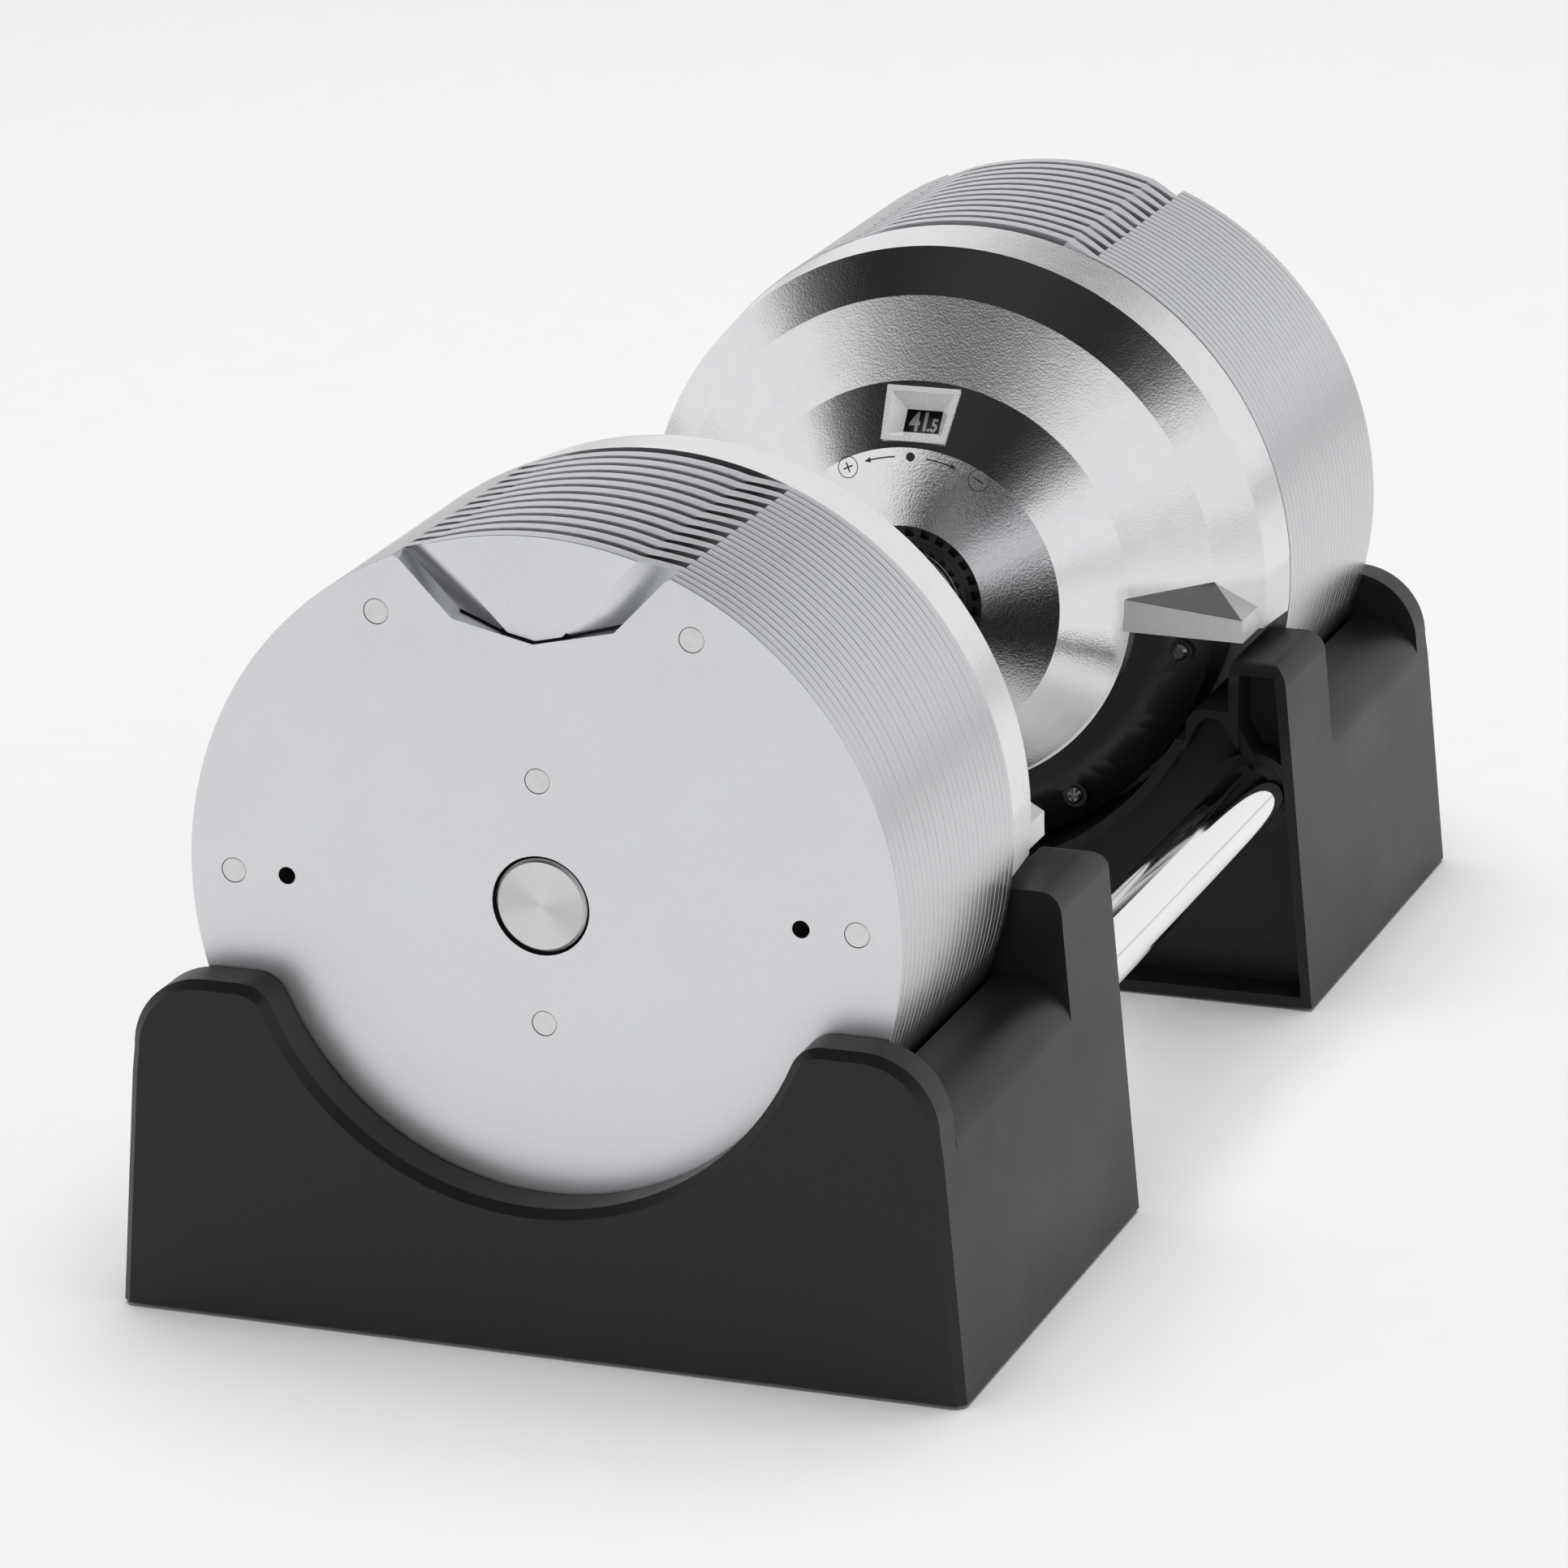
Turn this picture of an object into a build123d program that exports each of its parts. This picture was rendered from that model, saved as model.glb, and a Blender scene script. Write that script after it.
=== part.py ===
from build123d import *
import math
import os

# Adjustable dumbbell seated in its two-saddle cradle, at the 41.5 kg setting. Millimetres.
# The part's own frame: +X along the dumbbell, +Z up, origin on the surface under its centre.
# Every function below models the far (+X) end round the dumbbell's axis; both() mirrors it.

# Overall
AXIS_HEIGHT = 115.6
FOOT_PROUD = 1.0
BASE_Z = FOOT_PROUD - AXIS_HEIGHT

# Weights
PLATE_R = 95.0
BORE_R = 13.0
WEIGHTS_PER_END = 12
STACK_START = 123.3
WEIGHT_PITCH = 6.84
SHEET_PITCH = 3.36
SHEET = 3.32
SHEET_CHAMFER = 0.15
NOTCH_TOP = (36.2, 87.8)
NOTCH_LOW = (21.4, 72.5)
NOTCH_MID_Z = 67.7
NOTCH_FLARE = (3.0, 1.2)
TONGUE = 4.5
TONGUE_FACE = 8.76
TONGUE_BEND = 8.4
TONGUE_SLIT = 0.6
RIVET_R = 3.3
RIVETS = [(41.7, 72.6), (-41.7, 72.6), (0, 32.5), (83.3, 1), (-83.3, 1), (0, -31)]
PILOT_R = 2.3
PILOTS = [(68.7, 1), (-68.7, 1)]

# Plungers, guide tube, cam sleeve and grip, from the inside out
PLUNGER_R = 12.2
PLUNGER_INNER = 87.5
PLUNGER_OUTER = 208.7
PLUNGER_TRAVEL = 86.5
GUIDE_TUBE = (12.3, 13.8, 108.0)
CAM_SLEEVE = (13.9, 15.2, 96.5)
GRIP_TUBE = (15.25, 17.0, 82.0)
PIN_R = 2.2
PIN_X = 91.0
PIN_TIP_R = 14.9
SLOT_R = 2.35
GRIP_TURN = 330.0
CLICK = 27.5
CLICKS = 12

# Handle heads, as (distance along the axis, radius)
HUB_EDGE = (64.2, 22.4)
HUB_RIM = (69.9, 43.5)
BAND_RIM = (82.9, 59.5)
RIDGE = (94.0, 81.4)
SHOULDER = (104.3, 93.2)
COVER_BACK = (123.0, 94.8)
HUB_SKIRT_R = 60.3
HUB_SKIRT_BACK = 89.6
FOOT_IN = (58.0, -8.6)
FOOT_TIP = (91.3, -11.0)
FOOT_BAND = (9.3, 6.5)
FOOT_FRONT = (82.0, 88.0)
FOOT_BACK = 105.5
FOOT_CREST = (81.2, 4.5)
HOUSING_SPACE = [(89.4, 0), (89.4, 66.2), (97.6, 81.4), (130, 81.4), (130, 0)]
CARRIER_R = 81.0
CARRIER_FRONT = 89.8
CARRIER_BACK = 120.1
BACK_PLATE = (120.2, 122.9, 91.2)
COLLAR = (67.5, 76.0, 22.0)
LOCK_RING = (92.3, 96.3, 26.0, 22.2)
LOCK_PLATE_X = (93.1, 95.5)
LOCK_TRAVEL = 4.0
SPRING_TOP = 52.4
HOUSING_SCREWS = [(71.5, -16.5), (-71.5, -16.5), (40, -62), (-40, -62)]
SCREW_SEAT = 92.6
SCREW_BOSS_R = 3.6
SCREW_HEAD_R = 2.4
SCREW_HEAD = 1.6
SCREW_SHANK_R = 1.25
DIAL_WEB = (83.8, 86.6)
DIAL_BAND = [(86.6, 48.1), (89.1, 51.3), (87.6, 52.6), (77.6, 40.3), (79.2, 39.0), (83.8, 44.66)]
DETENT_BALL_R = 2.5
COLLAR_POCKET = (2.6, 2.2, 18.4, 20.8)
DETENT_AT_R = 40.0
WINDOW_TOP = 10.0
WINDOW_FOOT = 8.5
WINDOW_HALF = 7.5
WINDOW_DEPTH = 5.0

# Cradle
SADDLE_IN = 80.3
SADDLE_OUT = 221.6
END_WALL_IN = 209.5
POST_OUT = 119.5
WALL = 3.0
BASE_HALF = 114.2
SHOULDER_R = 13.3
SHOULDER_Y = 95.6
SHOULDER_TOP = -38.5
POST_TOP = -15.2
POST_IN = 89.5
POST_FOOT_Y = 109.6
POST_HEAD_Y = 105.8
POST_ROUND = 6.0
CHEEK_TOP = -29.0
CHEEK_IN = 77.0
CHEEK_FOOT = -60.0
CHEEK_ROUND = 5.0
CHEEK_POCKET = [(79.8, -34.2), (82.6, -31.3), (87.0, -31.3), (94.2, -43.0), (76.0, -43.0)]
BRACE = [(87.4, -31.0), (89.8, -29.6), (97.4, -41.6), (94.8, -43.2)]
RECESS_DEPTH = 11.0
BULKHEAD = 14.0
CROSS_RIB = (165.0, 167.5)
HORN_TOP = -25.0
HORN_R = 20.0
HORN_TIP_ROUND = 9.0
RIM_CHAMFER = 2.2
CUT_R = 76.0
PLATE_BED_R = 96.5
HEAD_BED_R = 83.2
TUBE_R = 9.25
TUBE_Y = 96.5
TUBE_Z = -53.0
TUBE_END = 116.0
TUBE_SCREW_X = 105.0
PAD_X = (127.0, 204.0)
PAD_Y = 101.0
PAD_R = 8.0
PAD_BOSS_R = 11.0
SOCKET_R = 12.2


def rod(x0, x1, radius, y=0, z=0):
    """A round bar along X."""
    bar = Cylinder(radius, x1 - x0, align=(Align.CENTER, Align.CENTER, Align.MIN))
    return Pos(x0, y, z) * Rot(0, 90, 0) * bar


def post(z0, z1, radius, x, y):
    """An upright round bar."""
    bar = Cylinder(radius, z1 - z0, align=(Align.CENTER, Align.CENTER, Align.MIN))
    return Pos(x, y, z0) * bar


def block(x, y, z):
    """A box from its low and high value on each axis."""
    corner = (Align.MIN, Align.MIN, Align.MIN)
    return Pos(x[0], y[0], z[0]) * Box(x[1] - x[0], y[1] - y[0], z[1] - z[0], align=corner)


def slab(points, x0, x1):
    """A plate cut to an outline of (y, z) points and reaching from x0 to x1."""
    face = Plane.YZ.offset(x0) * make_face(Polyline(*points, close=True))
    return extrude(face, x1 - x0)


def turned(points):
    """A ring turned about the axis from an outline of (x, radius) points."""
    face = make_face(Polyline(*[(x, 0, r) for x, r in points], close=True))
    return revolve(face, Axis.X)


def pipe(x0, x1, inner, outer):
    """A plain tube about the axis."""
    return rod(x0, x1, outer) - rod(x0, x1, inner)


def at_angle(part, degrees):
    """The part turned about the axis."""
    return Rot(degrees, 0, 0) * part


# ---------------------------------------------------------------- weights

def floor_of_notch(y):
    """Height of the notch's shallow V floor."""
    return NOTCH_MID_Z + abs(y) * (NOTCH_LOW[1] - NOTCH_MID_Z) / NOTCH_LOW[0]


def notch_side():
    """Direction of the notch's right side and the direction across it, towards the tongue."""
    dy = NOTCH_TOP[0] - NOTCH_LOW[0]
    dz = NOTCH_TOP[1] - NOTCH_LOW[1]
    length = math.hypot(dy, dz)
    return (dy / length, dz / length), (-dz / length, dy / length)


def along_side(distance, across=0.0):
    """A point on the notch's right side, measured up from its lower corner."""
    along, over = notch_side()
    y = NOTCH_LOW[0] + along[0] * distance + over[0] * across
    z = NOTCH_LOW[1] + along[1] * distance + over[1] * across
    return y, z


def notch_outline(flare):
    """The notch, with its upper corners eased where flare is wanted."""
    beyond = 2 * PLATE_R
    right = [NOTCH_LOW]
    if flare:
        right.append((NOTCH_TOP[0] - 1.2, NOTCH_TOP[1] - 1.2))
        right.append((NOTCH_TOP[0] + NOTCH_FLARE[0], NOTCH_TOP[1] + NOTCH_FLARE[1]))
        right.append((NOTCH_TOP[0] + NOTCH_FLARE[0], beyond))
    else:
        right.append(along_side(beyond / 2))
    left = [(-y, z) for y, z in reversed(right)]
    return [(0, NOTCH_MID_Z)] + right + left


def eased_disc(x0, x1, bore):
    """A ring of the weights' radius with eased rims."""
    c = SHEET_CHAMFER
    outline = [(x0, bore), (x1, bore), (x1, PLATE_R - c), (x1 - c, PLATE_R), (x0 + c, PLATE_R)]
    return turned(outline + [(x0, PLATE_R - c)])


def sheet_disc():
    """One round sheet with its bore and its pilot holes."""
    disc = eased_disc(0, SHEET, BORE_R)
    for y, z in PILOTS:
        disc -= rod(-1, SHEET + 1, PILOT_R, y, z)
    return disc


def rivet_holes(part):
    """The part with its six rivet holes."""
    for y, z in RIVETS:
        part -= rod(-1, SHEET + 1, RIVET_R + 0.05, y, z)
    return part


def flat_sheet():
    """A sheet with the open notch."""
    return rivet_holes(sheet_disc() - slab(notch_outline(True), -1, SHEET + 1))


def tongue_web():
    """The right bend that carries the tongue out of its sheet."""
    along, over = notch_side()
    y, z = along_side(-10)
    section = [(0, 0), (0, SHEET), (TONGUE_BEND, TONGUE_FACE), (TONGUE_BEND, TONGUE_FACE - TONGUE)]
    frame = Plane(origin=(0, y, z), x_dir=(0, *over), z_dir=(0, *along))
    return extrude(frame * make_face(Polyline(*section, close=True)), 50)


def pressed_sheet():
    """A sheet whose notch is bridged by a tongue pressed outwards."""
    high = along_side(40, TONGUE_BEND)
    low = along_side(-14, TONGUE_BEND)
    panel_outline = [low, high, (-high[0], high[1]), (-low[0], low[1])]
    rimmed = eased_disc(TONGUE_FACE - TONGUE, TONGUE_FACE, BORE_R)
    panel = slab(panel_outline, TONGUE_FACE - TONGUE, TONGUE_FACE) & rimmed
    web = tongue_web() & rod(-1, TONGUE_FACE + 1, PLATE_R)
    wide = PLATE_R
    above = [
        (-wide, floor_of_notch(wide) + TONGUE_SLIT), (0, NOTCH_MID_Z + TONGUE_SLIT),
        (wide, floor_of_notch(wide) + TONGUE_SLIT), (wide, 2 * wide), (-wide, 2 * wide),
    ]
    tongue = (panel + web + mirror(web, Plane.XZ)) & slab(above, -1, TONGUE_FACE + 1)
    return rivet_holes(sheet_disc() - slab(notch_outline(False), -1, SHEET + 1)) + tongue


def sheets_in(weight):
    """The outermost weight has three sheets and the others two."""
    return 3 if weight == WEIGHTS_PER_END else 2


def weight_start(weight):
    """Distance of a weight's inner face from the centre."""
    return STACK_START + (weight - 1) * WEIGHT_PITCH


def weights():
    """The twelve weights of one end, each a pressed sheet and its flat sheets."""
    pressed = pressed_sheet()
    flat = flat_sheet()
    made = {}
    for weight in range(1, WEIGHTS_PER_END + 1):
        start = weight_start(weight)
        solids = [Pos(start, 0, 0) * pressed]
        for i in range(1, sheets_in(weight)):
            solids.append(Pos(start + i * SHEET_PITCH, 0, 0) * flat)
        made[f"{weight:02d}"] = solids
    return made


def rivets():
    """The rivets of one end, six to a weight."""
    made = []
    for weight in range(1, WEIGHTS_PER_END + 1):
        start = weight_start(weight)
        end = start + (sheets_in(weight) - 1) * SHEET_PITCH + SHEET
        for y, z in RIVETS:
            made.append(rod(start, end, RIVET_R, y, z))
    return made


# ---------------------------------------------------------------- grip and plungers

def guide_tube():
    """The fixed tube that joins both heads and keeps the plungers straight."""
    inner, outer, end = GUIDE_TUBE
    tube = pipe(-end, end, inner, outer)
    for side in (-1, 1):
        near_x = side * (PIN_X - PLUNGER_TRAVEL)
        far_x = side * PIN_X
        low = min(near_x, far_x)
        high = max(near_x, far_x)
        tube -= block((low, high), (-SLOT_R, SLOT_R), (inner - 2, outer + 2))
        tube -= post(inner - 2, outer + 2, SLOT_R, low, 0)
        tube -= post(inner - 2, outer + 2, SLOT_R, high, 0)
    return tube


def cam_slot():
    """The helical slot that drives one plunger as the grip turns."""
    inner, outer, _ = CAM_SLEEVE
    middle = (inner + outer) / 2
    start_x = PIN_X - PLUNGER_TRAVEL
    start_angle = math.radians(90 - GRIP_TURN)
    turns = GRIP_TURN / 360
    helix = Helix(PLUNGER_TRAVEL / turns, PLUNGER_TRAVEL, middle)
    placed = Plane(
        origin=(start_x, 0, 0),
        x_dir=(0, math.cos(start_angle), math.sin(start_angle)),
        z_dir=(1, 0, 0),
    ) * helix
    radial = (0, math.cos(start_angle), math.sin(start_angle))
    section = Plane(origin=placed @ 0, x_dir=radial, z_dir=placed % 0) * Rectangle(4, 2 * SLOT_R)
    slot = sweep(section, path=placed, is_frenet=True)
    slot += post(inner - 1, outer + 1, SLOT_R, PIN_X, 0)
    slot += at_angle(post(inner - 1, outer + 1, SLOT_R, start_x, 0), -GRIP_TURN)
    return slot


def cam_sleeve():
    """The sleeve inside the grip, with one helical slot to each plunger."""
    inner, outer, end = CAM_SLEEVE
    slot = cam_slot()
    return pipe(-end, end, inner, outer) - slot - mirror(slot, Plane.YZ)


def grip_tube():
    """The bare steel grip, with chamfered ends and three turned lines near each."""
    inner, outer, end = GRIP_TUBE
    chamfered = [(-end, inner), (end, inner), (end, outer - 1), (end - 1, outer)]
    tube = turned(chamfered + [(1 - end, outer), (-end, outer - 1)])
    for side in (-1, 1):
        for i in range(3):
            x = side * (56 + 2.5 * i)
            tube -= pipe(x - 0.3, x + 0.3, outer - 0.25, outer + 1)
    return tube


def collar():
    """The black collar round the grip's end, with a ring of square pockets."""
    front, back, radius = COLLAR
    grip_r = GRIP_TUBE[1]
    outline = [(front, grip_r + 0.05), (back, grip_r + 0.05), (back, radius), (front + 0.6, radius)]
    ring = turned(outline + [(front, radius - 0.6)])
    width, depth, low, high = COLLAR_POCKET
    pocket = block((front - 1, front + depth), (-width / 2, width / 2), (low, high))
    for i in range(2 * CLICKS + 1):
        ring -= at_angle(pocket, i * CLICK / 2)
    return ring


def dial_ring():
    """The number ring: a cone band behind the window on a web keyed to the cam sleeve."""
    bore = CAM_SLEEVE[1] + 0.05
    front, back = DIAL_WEB
    ring = turned([(front, bore), (back, bore)] + DIAL_BAND)
    dimple = Pos(back + 2.1, DETENT_AT_R, 0) * Sphere(DETENT_BALL_R)
    for i in range(CLICKS + 1):
        ring -= at_angle(dimple, -i * CLICK)
    return ring


def lock_ring():
    """The toothed ring on the cam sleeve: one slot to each click."""
    front, back, radius, slot_floor = LOCK_RING
    ring = pipe(front, back, CAM_SLEEVE[1] + 0.05, radius)
    slot = block((front - 1, back + 1), (-1.9, 1.9), (slot_floor, radius + 2))
    for i in range(CLICKS + 1):
        ring -= at_angle(slot, -i * CLICK)
    return ring


def plunger_rod():
    """The bolt that reaches through the selected weights."""
    cap_seat = PLUNGER_OUTER - 3
    outline = [
        (PLUNGER_INNER, 0), (PLUNGER_INNER, PLUNGER_R - 1), (PLUNGER_INNER + 1, PLUNGER_R),
        (cap_seat, PLUNGER_R), (cap_seat, 0),
    ]
    return turned(outline) - post(3, 14, PIN_R + 0.03, PIN_X, 0)


def plunger_cap():
    """The machined disc that closes the plunger's outer end."""
    inner = PLUNGER_OUTER - 3
    outline = [(inner, 0), (inner, PLUNGER_R), (PLUNGER_OUTER - 0.8, PLUNGER_R), (PLUNGER_OUTER, 11.4)]
    return turned(outline + [(PLUNGER_OUTER, 0)])


def follower_pin():
    """The pin that follows the cam slot."""
    return post(3, PIN_TIP_R, PIN_R, PIN_X, 0)


# ---------------------------------------------------------------- handle heads

def window_plane(depth):
    """The window's plane on the cone band, sunk by depth; its local +Y points at the hub."""
    dx = BAND_RIM[0] - HUB_RIM[0]
    dr = BAND_RIM[1] - HUB_RIM[1]
    length = math.hypot(dx, dr)
    out = (-dr / length, 0, dx / length)
    middle = ((BAND_RIM[0] + HUB_RIM[0]) / 2, 0, (BAND_RIM[1] + HUB_RIM[1]) / 2)
    origin = tuple(m - depth * o for m, o in zip(middle, out))
    return Plane(origin=origin, x_dir=(0, 1, 0), z_dir=out)


def window_face(depth, top, foot, half):
    """A trapezoid across the window at a depth."""
    outline = [(-top, -half), (top, -half), (foot, half), (-foot, half)]
    return window_plane(depth) * make_face(Polyline(*outline, close=True))


def funnel(margin):
    """The window's tapering form from the surface down to the lens, margin wider all round."""
    mouth = window_face(
        -0.3, WINDOW_TOP + margin, WINDOW_FOOT + margin, WINDOW_HALF + margin
    )
    throat = window_face(WINDOW_DEPTH, 5.75 + margin, 5.75 + margin, 4.0 + margin)
    return loft([mouth, throat])


def cover_profile():
    """The cover's turned section."""
    outside = [HUB_EDGE, HUB_RIM, BAND_RIM, RIDGE, SHOULDER, COVER_BACK]
    inside = [
        (COVER_BACK[0], 91.8), (106.0, 90.4), (96.6, 79.8), (86.0, HUB_SKIRT_R),
        (HUB_SKIRT_BACK, HUB_SKIRT_R), (HUB_SKIRT_BACK, 57.6), (84.6, 57.6), (72.2, 42.4),
        (67.0, HUB_EDGE[1]),
    ]
    return outside + inside


def wedge(a, b, c):
    """What lies behind the flat facet through three points, back to the foot's rear."""
    solid = slab([a[1:], b[1:], c[1:]], FOOT_FRONT[0] - 5, FOOT_BACK)
    normal = (Vector(b) - Vector(a)).cross(Vector(c) - Vector(a))
    if normal.X > 0:
        normal = normal * -1
    ahead = Plane(origin=a, z_dir=normal) * Rectangle(2 * PLATE_R, 2 * PLATE_R)
    return solid - extrude(ahead, PLATE_R)


def foot_band():
    """The flat band along a foot's lower edge and the facet above it, on the +Y side."""
    front_in, front_tip = FOOT_FRONT
    y_in, z_in = FOOT_IN
    y_tip, z_tip = FOOT_TIP
    plan = [(front_in, y_in), (front_tip, y_tip), (FOOT_BACK, y_tip), (FOOT_BACK, y_in)]
    plan_face = Plane.XY.offset(z_tip - 5) * make_face(Polyline(*plan, close=True))
    top_in = z_in + FOOT_BAND[0]
    top_tip = z_tip + FOOT_BAND[1]
    side = slab([FOOT_IN, FOOT_TIP, (y_tip, top_tip), (y_in, top_in)], front_in - 2, FOOT_BACK + 2)
    band = extrude(plan_face, 40) & side
    crest_y, crest_z = FOOT_CREST
    facet = wedge(
        (RIDGE[0], crest_y, crest_z), (front_tip, y_tip, top_tip), (front_in, y_in, top_in)
    )
    return band + facet - rod(70, 120, HUB_SKIRT_R - 2) - turned(HOUSING_SPACE)


def cover():
    """The die-cast cover: a full hub, and a skirt that stops at two feet below the middle."""
    shell = turned(cover_profile())
    foot = foot_band()
    shell = shell + foot + mirror(foot, Plane.XZ)
    wide = PLATE_R + 20
    right = [FOOT_IN, FOOT_TIP, (wide, FOOT_TIP[1]), (wide, -wide)]
    below = [(-y, z) for y, z in reversed(right)]
    shell -= slab(right + below, 60, 130) - rod(60, 130, HUB_SKIRT_R)
    return shell - funnel(1.2)


def window_bezel():
    """The frame with sloping sides in the cover's window."""
    trimmed = funnel(1.1) - extrude(window_face(-0.05, 20, 20, 20), 5)
    return trimmed - funnel(-0.5)


def window_lens():
    """The clear pane at the foot of the bezel."""
    return extrude(window_face(WINDOW_DEPTH + 0.05, 6.6, 6.6, 4.8), -1.1)


def carrier():
    """The moulded housing that holds the guide tube, the lock and the detent."""
    hub_x = 97.5
    outline = [
        (CARRIER_FRONT, 28.0), (92.4, 28.0), (92.4, 65.6), (99.0, 77.5), (CARRIER_BACK, 77.5),
        (CARRIER_BACK, CARRIER_R), (98.1, CARRIER_R), (CARRIER_FRONT, 65.8),
    ]
    body = turned(outline)
    body += pipe(hub_x, CARRIER_BACK, PLUNGER_R + 0.1, 22)
    body -= rod(hub_x - 1, GUIDE_TUBE[2] + 0.1, GUIDE_TUBE[1] + 0.05)
    for i in range(6):
        body += at_angle(block((hub_x, CARRIER_BACK - 0.4), (-1.5, 1.5), (21.5, 77.5)), 60 * i)
    body += block((92.3, hub_x + 0.1), (-44, -33.4), (-8, 30)) - rod(80, 100, 34)
    body += block((92.3, hub_x + 0.1), (33.4, 36.5), (-30, 30)) - rod(80, 100, 34)
    body += rod(92.3, hub_x + 0.1, 4.6, DETENT_AT_R, 0)
    body -= rod(CARRIER_FRONT - 1, 96.5, 2.6, DETENT_AT_R, 0)
    body -= block((91.3, hub_x), (-3.4, 3.4), (33, SPRING_TOP))
    body += block((92.3, hub_x + 0.1), (-6, 6), (SPRING_TOP, SPRING_TOP + 4))
    body -= block((LOCK_PLATE_X[0] - 0.3, LOCK_PLATE_X[1] + 0.3), (-5.4, 5.4), (-90, -60))
    for y, z in HOUSING_SCREWS:
        body += rod(SCREW_SEAT, SCREW_SEAT + 11, SCREW_BOSS_R, y, z)
        body -= rod(SCREW_SEAT - 1, SCREW_SEAT + 9, SCREW_SHANK_R + 0.05, y, z)
    return body


def housing_screws():
    """Pan-head screws in the housing's front."""
    made = []
    x = SCREW_SEAT
    for y, z in HOUSING_SCREWS:
        crown = (x - SCREW_HEAD, SCREW_HEAD_R - 0.8)
        head = turned([(x - SCREW_HEAD, 0), crown, (x - 0.8, SCREW_HEAD_R), (x, SCREW_HEAD_R), (x, 0)])
        recess = block((x - SCREW_HEAD - 1, x - 0.8), (-1.5, 1.5), (-0.35, 0.35))
        head -= recess + at_angle(recess, 90)
        made.append(Pos(0, y, z) * (head + rod(x, x + 8, SCREW_SHANK_R)))
    return made


def back_plate():
    """The steel disc against which the innermost weight hangs."""
    front, back, radius = BACK_PLATE
    return pipe(front, back, PLUNGER_R + 0.1, radius)


def coil(length, radius, wire, turns):
    """A compression spring standing on the origin."""
    helix = Helix(length / turns, length, radius)
    section = Plane(origin=helix @ 0, z_dir=helix % 0) * Circle(wire)
    return sweep(section, path=helix, is_frenet=True)


def detent_ball():
    """The ball that clicks into the dial ring's dimples."""
    return Pos(DIAL_WEB[1] + 2.6, DETENT_AT_R, 0) * Sphere(DETENT_BALL_R)


def detent_spring():
    """The spring behind the detent ball."""
    return Pos(92.0, DETENT_AT_R, 0) * Rot(0, 90, 0) * coil(4.1, 1.7, 0.3, 5)


def lock_plate():
    """The sliding frame whose tooth drops into the lock ring when the dumbbell is lifted."""
    x0, x1 = LOCK_PLATE_X
    free_r = LOCK_RING[2] + 1.2
    frame = block((x0, x1), (-33, 33), (-38, 38)) & rod(x0, x1, 45)
    hole = rod(x0 - 1, x1 + 1, free_r) + rod(x0 - 1, x1 + 1, free_r, 0, LOCK_TRAVEL)
    hole += block((x0 - 1, x1 + 1), (-free_r, free_r), (0, LOCK_TRAVEL))
    frame -= hole
    tooth = [(-1.4, LOCK_RING[2] + 0.5), (1.4, LOCK_RING[2] + 0.5), (2.0, 33), (-2.0, 33)]
    leg = block((x0, x1), (-5, 5), (HEAD_BED_R * -1 + 1.6, -30))
    return frame + slab(tooth, x0, x1) + leg


def lock_spring():
    """The spring that pushes the lock plate down."""
    middle = sum(LOCK_PLATE_X) / 2
    return Pos(middle, 0, 38.5) * coil(13.4, 2.3, 0.4, 6)


# ---------------------------------------------------------------- cradle

def saddle_outline(inset):
    """The saddle's cross-section up to its rounded shoulders, inset by a wall."""
    lean = (BASE_HALF - SHOULDER_Y - SHOULDER_R) / (SHOULDER_TOP - SHOULDER_R - BASE_Z)
    radius = SHOULDER_R - inset
    waist = (SHOULDER_Y + radius, SHOULDER_TOP - SHOULDER_R)
    bottom = (waist[0] + lean * (waist[1] - BASE_Z), BASE_Z)
    crown = (SHOULDER_Y, SHOULDER_TOP - inset)
    centre = (SHOULDER_Y, SHOULDER_TOP - SHOULDER_R)
    half = radius * math.sqrt(0.5)
    mid = (centre[0] + half, centre[1] + half)

    def flip(p):
        return (-p[0], p[1])

    edges = [
        Line(flip(bottom), bottom),
        Line(bottom, waist),
        ThreePointArc(waist, mid, crown),
        Line(crown, flip(crown)),
        ThreePointArc(flip(crown), flip(mid), flip(waist)),
        Line(flip(waist), flip(bottom)),
    ]
    return make_face(Curve() + edges)


def tower(inset, top, x0, x1):
    """The post that carries a cover's foot, on the +Y side."""
    low_y = POST_FOOT_Y - inset
    top_y = POST_HEAD_Y - inset
    low_z = CHEEK_FOOT
    outline = [(POST_IN + inset, low_z), (low_y, low_z), (top_y, top), (POST_IN + inset, top)]
    return slab(outline, x0, x1)


def end_wall():
    """The outer wall with its two horns and the round cut between them."""
    waist = (SHOULDER_Y + SHOULDER_R, SHOULDER_TOP - SHOULDER_R)
    crown = (waist[0] - HORN_R - 1.0, HORN_TOP)
    side = (waist[0] - 0.9, HORN_TOP - HORN_R)
    half = HORN_R * math.sqrt(0.5)
    mid = (side[0] - HORN_R + half, side[1] + half)

    def flip(p):
        return (-p[0], p[1])

    base = (BASE_HALF, BASE_Z)
    edges = [
        Line(flip(base), base),
        Line(base, waist),
        Line(waist, side),
        ThreePointArc(side, mid, crown),
        Line(crown, flip(crown)),
        ThreePointArc(flip(crown), flip(mid), flip(side)),
        Line(flip(side), flip(waist)),
        Line(flip(waist), flip(base)),
    ]
    face = make_face(Curve() + edges) - Circle(CUT_R)
    tips = [v for v in face.vertices() if abs(v.Y - HORN_TOP) < 0.01 and abs(v.X) < CUT_R]
    face = fillet(tips, HORN_TIP_ROUND)
    wall = extrude(Plane.YZ.offset(END_WALL_IN) * face, SADDLE_OUT - END_WALL_IN)
    outer = wall.faces().sort_by(Axis.X)[-1]
    rim = [e for e in outer.edges() if e.center().Z > BASE_Z + 1]
    return chamfer(rim, RIM_CHAMFER)


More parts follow.
